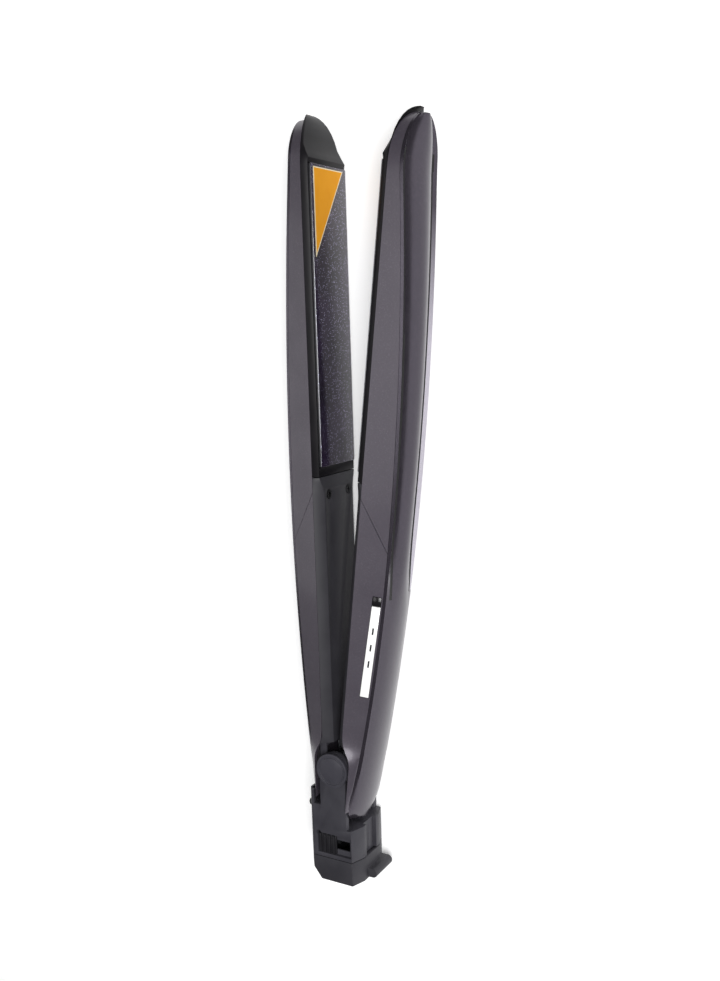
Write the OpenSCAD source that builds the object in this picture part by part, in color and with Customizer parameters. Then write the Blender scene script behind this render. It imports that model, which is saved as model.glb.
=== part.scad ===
// Slim flat iron: two sprung arms on one hinge pin, each with a floating 22 x 100 mm
// heater plate. The iron lies on its side: +X runs along the arms to the tips, the arms
// open along Y and the hinge pin stands along Z. Z = 0 is the resting plane and the
// origin lies on the hinge axis. The left arm and the base are fixed; the right arm turns.

/* [Arms] */
// Width over the widest edge of an arm, and of the hinge caps
body_w = 25.5; // [25:0.1:32]
// Angle between the open arms
open_angle = 7.1; // [4:0.1:12]
// Distance from the hinge axis to the hinge end of the heater plates
plate_start = 108.2; // [104:0.2:135]
// Length that each nose reaches past its heater plate
nose_reach = 17.3; // [15:0.1:22]
// Thickness of the side walls
wall = 1.5; // [1.2:0.1:1.9]
// Thickness of the shells' backs, under the cover
back_t = 1; // [0.8:0.1:1.2]
// Height of an arm at its thickest place, from the closing plane to the cover edge
belly_w = 14.5; // [13.5:0.1:18]
// Height of the cover edge at the plate's far end
tip_w = 8.3; // [7.6:0.1:10]
// Height of the cover edge beside the hinge
rear_w = 9.9; // [9.4:0.1:11.5]
// Distance from the hinge axis to the thickest place
belly_s = 92; // [80:1:110]

/* [Outer cover] */
// Half width of the cover at its waist
waist_z = 9.1; // [8.6:0.1:10.5]
// Half width of the cover at the plate's far end
cover_tip_z = 12.2; // [11:0.1:12.6]
// Rise of the cover's crown above its edges in the middle of the arm
crown_mid = 1.6; // [0.6:0.1:3]
// Rise of the crown at the tip
crown_tip = 2.6; // [1:0.1:3.5]
// Thickness of the cover
cover_t = 1; // [0.8:0.1:1.2]
// Width of the raised strip outside each groove
strip_w = 2.6; // [2:0.1:3]
// Depth of the grooves below the cover's edges
groove_depth = 1.2; // [0.6:0.1:1.4]

/* [Heater plates] */
// Length of a heater plate
plate_len = 100; // [85:1:120]
// Width of a heater plate
plate_w = 22; // [20:0.1:22.4]
// Thickness of a heater plate
plate_t = 1.8; // [1.5:0.1:1.9]
// How far a plate sinks into its arm against its springs
float_travel = 0.6; // [0.4:0.1:0.7]
// Gap between the two plates when the iron is closed
plate_gap = 0.3; // [0.2:0.05:0.6]
// Width of the heater carrier behind a plate
carrier_w = 16; // [14:0.5:17]

/* [Bevel] */
// Depth of the bevelled frame, from the closing plane to its widest edge
bevel_w = 3.3; // [3:0.1:3.8]
// Half width of the flat inside face of the handle
handle_face = 9.5; // [9:0.1:10]
// Height of the frame's rim behind the closing plane
rim_w = 1; // [0.8:0.1:1.2]

/* [Hinge] */
// Diameter of the hinge pin
pin_d = 4; // [3.5:0.1:4.4]
// Diameter of the hinge caps
cap_d = 12.4; // [12:0.1:12.8]
// Thickness of a hinge cap
cap_t = 1.7; // [1.2:0.1:2]
// Diameter of the arm's knuckle round the pin
knuckle_d = 8.4; // [8:0.1:8.8]
// Wire diameter of the torsion spring
wire_d = 1.2; // [1:0.1:1.4]
// Turns of the torsion spring
spring_turns = 3.5; // [2.5:1:4.5]

/* [Base] */
// Distance from the hinge axis to the end of the base
base_end = 43.5; // [42:0.1:48]
// Reach of the base behind the fixed arm
base_back = 11.4; // [11.2:0.1:12]
// Reach of the base behind the moving arm
base_front = 8.2; // [7.8:0.1:9]
// Thickness of the base's walls
base_wall = 1.8; // [1.5:0.1:2.2]
// Travel of the lock slider
lock_travel = 6; // [5:0.1:6.4]
// Reach of the heel beside the end cap
heel_reach = 3.5; // [2.5:0.1:4.5]
// Thickness of the heel
heel_t = 3.5; // [3:0.1:4.5]

/* [Cord swivel] */
// Diameter of the cord inlet
inlet_d = 6.4; // [5.6:0.1:6.6]
// Outside diameter of the swivel's barrel
swivel_d = 9.6; // [9:0.1:10]

/* [Display] */
// Length of the display window
window_len = 33; // [28:0.5:36]
// Width of the display window
window_w = 3; // [2.6:0.1:3.2]
// Travel of the power button
button_travel = 0.5; // [0.3:0.1:0.6]

/* [Hidden] */
$fn = 48;

// Clearances
seat = 0.1;      // between pieces that are clamped together
running = 0.05;  // radial, round a turning pin
slide_gap = 0.3; // beside a piece that slides

// Plain sizes that follow from the driving ones
half_w = body_w / 2;
plate_end = plate_start + plate_len;
nose_s = plate_end - 1.2;
nose_len = plate_end + nose_reach - nose_s;
shell_nose_len = nose_len - 1.6;
apex_w = 9.4;
nose_lip_w = 0.3;
liner_w = 0.5;
seam_inner_s = plate_start - 8.6;
seam_outer_s = seam_inner_s - 19.2;
seam_gap = 0.3;
liner_end = plate_start - 3.5;
waist_s = 50;
rear_z = 9.6;
groove_fade = seam_outer_s - 20;
disc_clear = 0.5;
disc_w = cap_d / 2 + disc_clear;
// Rear ends behind the hinge axis; the fixed arm's end sooner, where the base takes over.
moving_shell_rear = 14.2;
moving_cover_rear = 20.5;
moving_tail = 9;
fixed_shell_rear = 11;
fixed_cover_rear = 14.2;
fixed_tail = 4;
cover_edge = 1;
back_steps = [1, 0.72, 0.38, 0, -0.38, -0.72, -1];
fine = 96;

// Smooth step from 0 to 1.
function ease(t) = let (c = min(1, max(0, t))) c * c * (3 - 2 * c);

// --- Lines along an arm. s is the distance from the hinge axis, w the height out of the
// --- closing plane and z the distance from the middle of the arm.

function edge_w(s) = s > belly_s
    ? belly_w - (belly_w - tip_w) * pow((s - belly_s) / (plate_end - belly_s), 2)
    : belly_w - (belly_w - rear_w) * pow((belly_s - s) / belly_s, 2);
function edge_z(s) = s > waist_s
    ? waist_z + (cover_tip_z - waist_z) * pow((s - waist_s) / (plate_end - waist_s), 1.7)
    : waist_z + (rear_z - waist_z) * pow((waist_s - s) / waist_s, 2);
function crown(s) = crown_mid
    + (crown_tip - crown_mid) * max(0, (s - belly_s) / (plate_end - belly_s));
function groove(s) = ease((s - groove_fade) / 25);
// Widest edge of the side wall: it climbs round the hinge cap at the rear.
function bevel_edge(s) = bevel_w + (disc_w + 0.2 - bevel_w) * ease((12.5 - s) / 8);
function side_z(s, w) = half_w
    - (half_w - edge_z(s)) * (w - bevel_edge(s)) / (edge_w(s) - bevel_edge(s));

// A nose station is [s, z scale, pull]: the pull draws w towards the apex of the nose.
function nose_station(t) = [nose_s + shell_nose_len * sin(t), cos(t), sqrt(cos(t))];
function place(st, w, z) = [st[0], -(apex_w + (w - apex_w) * st[2]), z * st[1]];

nose_turns = [15, 27, 39, 50, 60, 69, 76];

// --- Sections, each a list of [w, z] from the near side to the far side.

function mirrored(half) = concat(half, [for (i = [len(half) - 1:-1:0]) [half[i][0], -half[i][1]]]);

// Outer surface of the cover between its grooves, sunk by a depth.
function back_line(s, sink) = let (
        zl = edge_z(s), zv = zl - strip_w, top = edge_w(s) + crown(s),
        smooth_w = edge_w(s) + crown(s) * (1 - pow(zv / zl, 2)),
        low = smooth_w + (edge_w(s) - groove_depth - smooth_w) * groove(s))
    [for (q = back_steps) [low + (top - low) * (1 - q * q) - sink, q * zv]];

function with_sides(near, back) = concat(
    near, back, [for (i = [len(near) - 1:-1:0]) [near[i][0], -near[i][1]]]);

function cover_outer(s) = with_sides([[edge_w(s), edge_z(s)]], back_line(s, 0));
function cover_inner(s) = let (w = edge_w(s) - cover_edge)
    with_sides([[w, side_z(s, w)]], back_line(s, cover_t));

function shell_outer(s) = let (b = bevel_edge(s), w = edge_w(s) - cover_edge - seat)
    with_sides([[b, side_z(s, b)], [w, side_z(s, w)]], back_line(s, cover_t + seat));
function shell_inner(s) = let (b = bevel_edge(s), w = edge_w(s) - cover_edge - seat,
        wi = max(b + 0.01, w - wall))
    with_sides([[b, side_z(s, b) - wall], [wi, side_z(s, wi) - wall]],
               back_line(s, cover_t + seat + back_t));

// Inside face of the frame and the handle liner.
function face_w(s) = s > plate_end + 1 ? nose_lip_w + (apex_w - nose_lip_w) * (s - plate_end - 1) / nose_reach
    : rim_w + (liner_w - rim_w) * ease((liner_end - s) / 5);
function face_z(s) = plate_w / 2 + 0.7
    + (handle_face - plate_w / 2 - 0.7) * ease((liner_end + 0.5 - s) / 6);

// --- Lofts

// Side faces of a loft through rings of n points, as triangles.
function loft_sides(count, n) = [
    for (i = [0:count - 2], j = [0:n - 1], k = [0, 1])
        let (a = i * n + j, b = i * n + (j + 1) % n)
        k == 0 ? [a, a + n, b] : [b, a + n, b + n]];
// End faces of a wall whose ring is m outer points and then m inner points reversed.
function wall_ends(count, m) = [
    for (e = [0, 1], j = [0:m - 2], k = [0, 1])
        let (o = e * (count - 1) * 2 * m,
             a = o + j, b = o + j + 1, c = o + 2 * m - 2 - j, d = o + 2 * m - 1 - j)
        e == 0 ? (k == 0 ? [a, b, c] : [a, c, d]) : (k == 0 ? [a, c, b] : [a, d, c])];

// A wall along the arm. Each ring lists its outer points and its inner points.
module wall_loft(outer_rings, inner_rings) {
    m = len(outer_rings[0]);
    count = len(outer_rings);
    points = [for (i = [0:count - 1])
        each concat(outer_rings[i], [for (j = [m - 1:-1:0]) inner_rings[i][j]])];
    polyhedron(points, concat(loft_sides(count, 2 * m), wall_ends(count, m)), convexity = 8);
}

// Steps from a to b in n parts.
function steps(a, b, n) = [for (i = [0:n]) a + (b - a) * i / n];

// --- The seam between barrel and handle runs slantwise over the side walls.

seam_slope = (seam_inner_s - seam_outer_s) / (edge_w(seam_outer_s) - bevel_w);
// Shift of a point on the side, for a seam share from 0 to 1.
function seam_shift(share, w) = -share * seam_slope * (w - bevel_w);
function sheared(s, share, section) = let (first = [for (p = section) p[0]])
    [for (i = [0:len(section) - 1]) s + seam_shift(share, min(first[i], edge_w(s)))];

function shell_ring(s, share, inner) = let (
        rough = inner ? shell_inner(s) : shell_outer(s),
        outer_rough = shell_outer(s),
        ss = sheared(s, share, outer_rough))
    [for (i = [0:len(rough) - 1])
        let (p = inner ? shell_inner(ss[i])[i] : shell_outer(ss[i])[i])
        [ss[i], -p[0], p[1]]];
function nose_ring(st, section) = [for (p = section) place(st, p[0], p[1])];

module arm_barrel_shell() {
    seam = concat([for (t = [0, 0.3, 0.65, 1])
        [seam_inner_s + seam_gap / 2 + 32 * t, 1 - t]]);
    run = steps(seam_inner_s + 42, nose_s, 9);
    tip = [for (t = nose_turns) nose_station(t)];
    outer = concat(
        [for (q = seam) shell_ring(q[0], q[1], false)],
        [for (s = run) shell_ring(s, 0, false)],
        [for (st = tip) nose_ring(st, shell_outer(nose_s))]);
    inner = concat(
        [for (q = seam) shell_ring(q[0], q[1], true)],
        [for (s = run) shell_ring(s, 0, true)],
        [for (st = tip) nose_ring(st, shell_inner(nose_s))]);
    wall_loft(outer, inner);
}

module arm_handle_shell(shell_rear) {
    seam = [for (t = [1, 0.6, 0.3, 0])
        [seam_inner_s - seam_gap / 2 - 30 * t, 1 - t]];
    rows = concat([for (s = steps(-shell_rear, 2, 3)) [s, 0]],
                  [for (s = [4.5, 7, 9.5, 12.5]) [s, 0]],
                  [for (s = steps(20, seam_inner_s - 38, 4)) [s, 0]], seam);
    wall_loft([for (q = rows) shell_ring(q[0], q[1], false)],
              [for (q = rows) shell_ring(q[0], q[1], true)]);
}

module arm_outer_cover(cover_rear, tail_len) {
    tail = [for (t = [72, 58, 42, 24]) [tail_len * (1 - sin(t)) - cover_rear, cos(t)]];
    run = concat(steps(tail_len - cover_rear, groove_fade, 7), steps(groove_fade + 8, nose_s, 12));
    tip = [for (t = nose_turns) nose_station(t)];
    function tail_ring(q, section) = [for (p = section)
        [q[0], -(p[0] + (edge_w(q[0]) - cover_edge / 2 - p[0]) * (1 - sqrt(q[1])) * 0.4),
         p[1] * q[1]]];
    wall_loft(
        concat([for (q = tail) tail_ring(q, cover_outer(q[0]))],
               [for (s = run) [for (p = cover_outer(s)) [s, -p[0], p[1]]]],
               [for (st = tip) nose_ring(st, cover_outer(nose_s))]),
        concat([for (q = tail) tail_ring(q, cover_inner(q[0]))],
               [for (s = run) [for (p = cover_inner(s)) [s, -p[0], p[1]]]],
               [for (st = tip) nose_ring(st, cover_inner(nose_s))]));
}

// Bevelled trim: a thick strip with its widest edge at the back and its face in front.
// A trim station is [s, pull, width scale].
trim_turns = [5, 9, 15, 24, 34, 44, 54, 63, 71, 78, 84];
lip_t = 0.6;
trim_t = 1.4;
function trim_station(t) = [nose_s + nose_len * sin(t), sqrt(cos(t)), cos(t)];
function trim_half(q, side) = let (s = min(q[0], nose_s),
        e = apex_w + (bevel_edge(s) - seat - apex_w) * q[1],
        f = min(face_w(q[0]), e - lip_t * q[1]))
    [[q[0], -f, side * face_z(s) * q[2]], [q[0], -e, side * half_w * q[2]]];
module trim_loft(stations) {
    wall_loft([for (q = stations) trim_half(q, 1)], [for (q = stations) trim_half(q, -1)]);
}

slot_gap = 0.2;
module arm_plate_frame() {
    run = [for (s = steps(liner_end + seam_gap, nose_s, 8)) [s, 1, 1]];
    difference() {
        trim_loft(concat(run, [for (t = trim_turns) trim_station(t)]));
        translate([plate_start - slot_gap, -bevel_w - 1, -plate_w / 2 - slot_gap])
            cube([plate_len + 2 * slot_gap, bevel_w + 2, plate_w + 2 * slot_gap]);
    }
}

pocket_z = 10.2;
module arm_handle_liner() {
    stations = [for (s = concat([9.5, 12.5], steps(22, liner_end - 10, 5),
                                [liner_end - 6, liner_end - 3.5, liner_end - 1.5, liner_end]))
                [s, 1, 1]];
    difference() {
        trim_loft(stations);
        // Pocket for the hinge arm.
        translate([8, -20, -pocket_z]) cube([6, 20 - liner_w - trim_t, 2 * pocket_z]);
        for (side = [-1, 1]) translate([liner_screw_s, 0, side * liner_screw_z])
            rotate([90, 0, 0]) cylinder(h = 6, r = screw_r + seat);
        for (side = [-1, 1]) translate([liner_screw_s, 1, side * liner_screw_z])
            rotate([90, 0, 0]) cylinder(h = 1 + liner_w + 0.8, r = screw_head_r + seat);
    }
}

screw_r = 0.9;
screw_head_r = 1.7;
liner_screw_s = plate_start - 9.8;
liner_screw_z = 6.4;
module arm_liner_screws() {
    for (side = [-1, 1]) translate([liner_screw_s, -liner_w - seat, side * liner_screw_z])
        rotate([90, 0, 0]) {
            difference() {
                cylinder(h = 0.6, r = screw_head_r);
                for (a = [0, 90]) rotate(a) translate([-0.9, -0.2, -0.1]) cube([1.8, 0.4, 0.4]);
            }
            translate([0, 0, 0.5]) cylinder(h = 2, r = screw_r);
        }
}

// --- Floating heater

plate_face = plate_gap / 2;
carrier_t = 2.6;
element_t = 1.4;
carrier_w0 = plate_face + plate_t;
module arm_heater_plate() {
    translate([plate_start, -plate_face - plate_t, -plate_w / 2]) cube([plate_len, plate_t, plate_w]);
}
element_len = 70;
element_w = carrier_w - 5;
module arm_heater_element() {
    translate([plate_start + (plate_len - element_len) / 2, -carrier_w0 - seat - element_t,
               -element_w / 2])
        cube([element_len, element_t, element_w]);
}
module arm_heater_carrier() {
    margin = 4;
    difference() {
        translate([plate_start + margin, -carrier_w0 - carrier_t, -carrier_w / 2])
            cube([plate_len - 2 * margin, carrier_t, carrier_w]);
        translate([plate_start + (plate_len - element_len) / 2 - seat,
                   -carrier_w0 - element_t - 2 * seat, -element_w / 2 - seat])
            cube([element_len + 2 * seat, element_t + 2 * seat + 1, element_w + 2 * seat]);
    }
}
// Bumpers on the back of the shell, which stop the plate at the end of its travel.
bumper_places = [0.14, 0.86];
bumper_r = 3;
function shell_back_w(s) = edge_w(s) + crown(s) - cover_t - seat - back_t;
module arm_plate_bumpers() {
    stop_w = carrier_w0 + carrier_t + float_travel + seat / 2;
    for (p = bumper_places) {
        s = plate_start + plate_len * p;
        height = min(shell_back_w(s - bumper_r), shell_back_w(s + bumper_r)) - stop_w - 5 * seat;
        translate([s, -stop_w, 0]) rotate([90, 0, 0]) difference() {
            cylinder(h = height, r = bumper_r);
            translate([0, 0, -1]) cylinder(h = height + 2, r = bumper_r / 2);
        }
    }
}
label_t = 0.12;
module arm_plate_label() {
    near = plate_w / 2 - 1.2;
    translate([plate_end - 1, -plate_face + label_t, 0]) rotate([90, 0, 0]) linear_extrude(label_t)
        polygon([[0, near], [0, -near + 1], [-29, near]]);
}

// --- Hinge

cap_out = half_w;
plate_top = cap_out - cap_t;
plate_low = 9.2;
stem_left = cap_d / 2 - 0.1;
stem_right = 4.4;
pin_r = pin_d / 2;
bore_r = pin_r + running;
washer_t = 0.5;
knuckle_top = 0.4;
knuckle_low = -plate_low + washer_t + 2 * seat;
block_s0 = 7.8;
block_len = 16;
block_w0 = bevel_w + seat;
block_w1 = edge_w(block_s0) - cover_edge - wall - 6 * seat;
block_z = 7.4;

module z_ring(r_out, r_in, z0, z1) {
    translate([0, 0, z0]) difference() {
        cylinder(h = z1 - z0, r = r_out, $fn = fine);
        translate([0, 0, -1]) cylinder(h = z1 - z0 + 2, r = r_in, $fn = fine);
    }
}

// Turning arm on the pin: a knuckle, a web and the block that the handle is screwed to.
module moving_knuckle() {
    difference() {
        union() {
            z_ring(knuckle_d / 2, bore_r, knuckle_low, knuckle_top);
            translate([0, 0, knuckle_low]) linear_extrude(knuckle_top - knuckle_low) difference() {
                polygon([[0, -knuckle_d / 2 + 0.1], [0, -1.5], [block_s0 + 1, -block_w0],
                         [block_s0 + 1, -block_w1]]);
                circle(r = bore_r + 0.3);
            }
            translate([block_s0, -block_w1, -block_z])
                cube([block_len, block_w1 - block_w0, 2 * block_z]);
        }
        for (z = [-1, 1]) arm_screw_at(z) arm_screw_hole();
    }
}
arm_screw_s = block_s0 + block_len - 5;
arm_screw_z = 4.5;
module arm_screw_at(side) {
    translate([arm_screw_s, -block_w0, side * arm_screw_z]) rotate([90, 0, 0]) children();
}
arm_screw_len = edge_w(arm_screw_s) - cover_t - back_t - block_w0 - 3 * seat;
module arm_screw_hole() {
    translate([0, 0, -1]) cylinder(h = 2.1, r = screw_head_r + seat);
    cylinder(h = 12, r = screw_r + seat);
}
module arm_screws() {
    for (side = [-1, 1]) arm_screw_at(side) {
        translate([0, 0, seat]) cylinder(h = 0.9, r = screw_head_r);
        translate([0, 0, 0.5]) cylinder(h = arm_screw_len - 0.5, r = screw_r);
    }
}

// Closed outline of the base seen from the near side, in [s, w] with w to the left.
base_start = 22.5;
back_start = 9.5;
socket_end = fixed_cover_rear + 0.4;
socket_w = edge_w(-back_start) + crown_mid + 2 * seat;
cap_seam = 34.4;
corner_s = 6;
corner_w = 4.6;
module base_outline(shrink) {
    polygon([[1, base_back - shrink], [-base_end + corner_s, base_back - shrink],
             [-base_end + shrink, base_back - corner_w], [-base_end + shrink, -base_front + shrink],
             [1, -base_front + shrink]]);
}
base_z = plate_top;
socket_low = edge_w(-back_start) + seat;
socket_z = rear_z + 2 * seat;
back_bevel = [1.5, 2];
front_bevel = [2, 5.4];
// The base's solid body between two stations, with its long edges bevelled.
module base_body(s0, s1, shrink) {
    half = [[-base_front + shrink, base_z - front_bevel[1] - shrink / 4],
            [-base_front + front_bevel[0] + shrink * 0.7, base_z - shrink],
            [base_back - back_bevel[0] - shrink / 2, base_z - shrink],
            [base_back - shrink, base_z - back_bevel[1] - shrink / 2]];
    intersection() {
        translate([0, 0, -base_z - 1]) linear_extrude(2 * base_z + 2) base_outline(shrink);
        rotate([90, 0, 90]) translate([0, 0, -s1]) linear_extrude(s1 - s0)
            polygon(mirrored(half));
    }
}

recess_s0 = 25.4;
recess_s1 = 33;
recess_w = 7;
recess_mid = 1;
recess_depth = 1.2;
pad_w = 2 * recess_w - lock_travel - 2 * slide_gap;
rear_slot_z = 3.6;
rear_slot_depth = 1.3;
parting = 0.05;

module base_half() {
    difference() {
        union() {
            difference() {
                base_body(base_start, cap_seam, 0);
                base_body(base_start - 1, cap_seam + 1, base_wall);
            }
            // Front wall of the hollow base.
            base_body(base_start, base_start + base_wall, 0);
            // Stem and ear that carry the pin.
            translate([0, 0, plate_low]) linear_extrude(plate_top - plate_low) difference() {
                union() {
                    polygon([[-base_start - 1, -stem_right], [-base_start - 1, stem_left],
                             [0, stem_left], [0, -stem_right]]);
                    circle(r = cap_d / 2, $fn = fine);
                }
                circle(r = pin_r + running, $fn = fine);
            }
            // Back of the base, a socket round the end of the fixed arm.
            difference() {
                intersection() {
                    base_body(back_start, base_start + base_wall, 0);
                    translate([-base_end, stem_left - 0.6, -base_z])
                        cube([base_end, 30, 2 * base_z]);
                }
                translate([-socket_end, 0, -base_z - 1]) cube([40, socket_low, 2 * base_z + 2]);
                translate([-socket_end, 0, -socket_z]) cube([40, socket_w, 2 * socket_z]);
            }
            // Tongue and block inside the fixed arm.
            translate([0, block_w0, plate_low - 0.01]) cube([block_s0 + block_len, 2.6, 0.8]);
            translate([block_s0, block_w0, 0])
                cube([block_len, block_w1 - block_w0, plate_low + 0.2]);
        }
        translate([-60, -30, -30]) cube([120, 60, 30 + parting]);
        // Shallow channel along the side of the base.
        translate([-cap_seam - 1, -base_front - 1, -1])
            cube([cap_seam + 2 - base_start, 1 + rear_slot_depth, 1 + rear_slot_z]);
        mirror([0, 1, 0]) arm_screw_at(1) arm_screw_hole();
        base_screw_at() cylinder(h = 60, r = screw_r + seat, center = true);
    }
}
post_r = 1.6;
module base_screw_at() {
    translate([-base_start - base_wall - post_r + 0.3, base_back - 4, 0]) children();
}

module base_near_shape() {
    difference() {
        union() {
            base_half();
            // Screw post.
            base_screw_at() translate([0, 0, parting]) difference() {
                cylinder(h = base_z - base_wall, r = post_r);
                translate([0, 0, -1]) cylinder(h = 30, r = screw_r + seat);
            }
        }
        // Recess and through slot of the lock.
        translate([-recess_s1, recess_mid - recess_w, base_z - recess_depth])
            cube([recess_s1 - recess_s0, 2 * recess_w, recess_depth + 1]);
        translate([-lock_s - lock_stem / 2 - slide_gap, recess_mid - recess_w + 1,
                   base_z - base_wall - 1])
            cube([lock_stem + 2 * slide_gap, 2 * recess_w - 2, 4]);
    }
}
module base_far_shape() {
    difference() {
        union() {
            mirror([0, 0, 1]) base_half();
            base_screw_at() translate([0, 0, -base_z + base_wall]) difference() {
                cylinder(h = base_z - base_wall - parting, r = post_r);
                translate([0, 0, -1]) cylinder(h = 30, r = screw_r + seat);
            }
        }
        base_screw_at() translate([0, 0, -base_z - 1]) cylinder(h = 2, r = screw_head_r + seat);
    }
}
module base_screw_shape() {
    base_screw_at() {
        translate([0, 0, -base_z + 0.2]) cylinder(h = 0.8, r = screw_head_r);
        translate([0, 0, -base_z + 0.9]) cylinder(h = base_z + 6, r = screw_r);
    }
}

lock_stem = 3;
lock_s = (recess_s0 + recess_s1) / 2;
lock_mid = recess_mid + recess_w - slide_gap - pad_w / 2;
pad_t = 0.6;
stem_len = 2.4;
module lock_pad() {
    ribs = 4;
    pad_len = recess_s1 - recess_s0 - 2 * slide_gap;
    translate([-recess_s1 + slide_gap, lock_mid - pad_w / 2, base_z - recess_depth + seat]) {
        cube([pad_len, pad_w, pad_t]);
        for (i = [0:ribs - 1]) translate([0, (i + 0.25) * pad_w / ribs, pad_t - 0.1])
            cube([pad_len, pad_w / ribs / 2, recess_depth - pad_t + 0.2]);
    }
    translate([-lock_s - lock_stem / 2, lock_mid - lock_stem / 2, base_z - base_wall - stem_len])
        cube([lock_stem, lock_stem, base_wall + stem_len - recess_depth + 2 * seat]);
}
// Bolt that the slider carries inside the base.
bolt_size = [2.8, 6, 2];
module lock_bolt_shape() {
    translate([-lock_s - bolt_size[0] / 2, lock_mid - bolt_size[1] / 2,
               base_z - base_wall - stem_len - seat - bolt_size[2]]) cube(bolt_size);
}

// --- End cap and cord swivel

swivel_r = swivel_d / 2;
swivel_y = 0.6;
heel_len = base_z + 1;
cap_end_t = 2;
module end_cap_shape() {
    difference() {
        union() {
            difference() {
                base_body(cap_seam + seam_gap, base_end, 0);
                base_body(cap_seam, base_end - cap_end_t, base_wall);
            }
            // Heel beside the end.
            translate([-base_end + 0.4 + heel_t / 2, -base_front - heel_reach + heel_t / 2,
                       -base_z + 2]) {
                cylinder(h = heel_len, r = heel_t / 2);
                translate([-heel_t / 2, 0, 0])
                    cube([heel_t, heel_reach - heel_t / 2 + front_bevel[0] + 0.5, heel_len]);
            }
        }
        translate([-base_end - 1, swivel_y, 0]) rotate([0, 90, 0])
            cylinder(h = 8, r = swivel_r + 2 * running, $fn = fine);
    }
}
module swivel_shape() {
    translate([0, swivel_y, 0]) rotate([0, -90, 0]) difference() {
        union() {
            translate([0, 0, base_end - cap_end_t - 4]) cylinder(h = cap_end_t + 5, r = swivel_r, $fn = fine);
            translate([0, 0, base_end - cap_end_t - 2.5])
                cylinder(h = 2, r = swivel_r + 1, $fn = fine);
        }
        translate([0, 0, base_end - cap_end_t - 5]) cylinder(h = 20, r = inlet_d / 2, $fn = fine);
    }
}
module swivel_ring_shape() {
    translate([0, swivel_y, 0]) rotate([0, -90, 0])
        translate([0, 0, base_end + 0.2]) difference() {
            cylinder(h = 0.6, r = swivel_r + 1, $fn = fine);
            translate([0, 0, -1]) cylinder(h = 3, r = swivel_r + seat, $fn = fine);
        }
}

// --- Torsion spring: an open coil round the pin with a leg to each block.

coil_r = 3.3;
coil_z0 = knuckle_top + wire_d / 2 + 0.4;
coil_z1 = plate_low - washer_t - wire_d / 2 - 0.4;
spring_sides = 8;
coil_steps = 16 * spring_turns;
// Centre line: the left leg, the turns and the right leg.
leg_s = block_s0 - wire_d / 2 - 0.2;
leg_w = block_w0 - 0.2;
function coil_point(a) = [coil_r * cos(a), coil_r * sin(a),
    coil_z0 + (coil_z1 - coil_z0) * (a - 90) / (360 * spring_turns)];
spring_path = concat([[leg_s, leg_w, coil_z0]],
    [for (i = [0:coil_steps]) coil_point(90 + 360 * spring_turns * i / coil_steps)],
    [[leg_s, -leg_w, coil_z1]]);
function unit(v) = v / norm(v);
function direction(path, i) = unit(path[min(i + 1, len(path) - 1)] - path[max(i - 1, 0)]);
module tube(path, r, sides) {
    rings = [for (i = [0:len(path) - 1])
        let (d = direction(path, i), a = unit(cross(d, [0, 0, 1])), b = cross(d, a))
        for (k = [0:sides - 1]) let (t = 360 * k / sides) path[i] + r * (cos(t) * a + sin(t) * b)];
    n = len(path);
    polyhedron(rings, concat(
        [for (f = loft_sides(n, sides)) [f[0], f[2], f[1]]],
        [for (k = [1:sides - 2]) [0, k + 1, k]],
        [for (k = [1:sides - 2]) [(n - 1) * sides, (n - 1) * sides + k, (n - 1) * sides + k + 1]]),
        convexity = 10);
}

// --- Display on the near side of the moving arm

window_s0 = 30;
window_s1 = window_s0 + window_len;
function strip_mid(s) = edge_w(s) - 3.2;
strip_turn = atan((strip_mid(window_s1) - strip_mid(window_s0)) / window_len);
strip_tilt = atan((half_w - waist_z) / (belly_w - bevel_w));
// Frame on the side wall at s: x along the strip, y across it and z out of the wall.
module on_strip(s) {
    translate([s, -strip_mid(s), side_z(s, strip_mid(s))]) rotate([strip_tilt, 0, 0])
        rotate([0, 0, -strip_turn]) children();
}
strip_mid_s = (window_s0 + window_s1) / 2;
button_len = 3.4;
strip_sink = 0.5;
window_t = 0.9;
board_size = [window_len + 10, 5, 1.2];
module strip_block(x0, x1, width, low, high) {
    on_strip(strip_mid_s) translate([x0 - strip_mid_s, -width / 2, low])
        cube([x1 - x0, width, high - low]);
}

// --- Placing

module stand() { translate([0, 0, half_w]) children(); }
module right_arm() { stand() rotate([0, 0, -open_angle / 2]) children(); }
module left_arm() { stand() mirror([0, 1, 0]) rotate([0, 0, -open_angle / 2]) children(); }
module in_base() { stand() rotate([0, 0, open_angle / 2]) children(); }

module left_barrel_shell() { color("#4a454c") left_arm() arm_barrel_shell(); }
module left_handle_shell() { color("#4d484f") left_arm() arm_handle_shell(fixed_shell_rear); }
module left_outer_cover() { color("#3c383f") left_arm() arm_outer_cover(fixed_cover_rear, fixed_tail); }
module left_plate_frame() { color("#1d191b") left_arm() arm_plate_frame(); }
module left_handle_liner() { color("#2b2b2b") left_arm() arm_handle_liner(); }
module left_heater_plate() { color("#28223a") left_arm() arm_heater_plate(); }
module left_heater_carrier() { color("#c9c2b0") left_arm() arm_heater_carrier(); }
module left_heater_element() { color("#e8e4dc") left_arm() arm_heater_element(); }
module left_plate_bumpers() { color("#b9562f") left_arm() arm_plate_bumpers(); }
module left_liner_screws() { color("#17171a") left_arm() arm_liner_screws(); }
module left_plate_label() { color("#e2a02c") left_arm() arm_plate_label(); }
module left_arm_screws() { color("#8d9094") left_arm() arm_screws(); }

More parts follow.
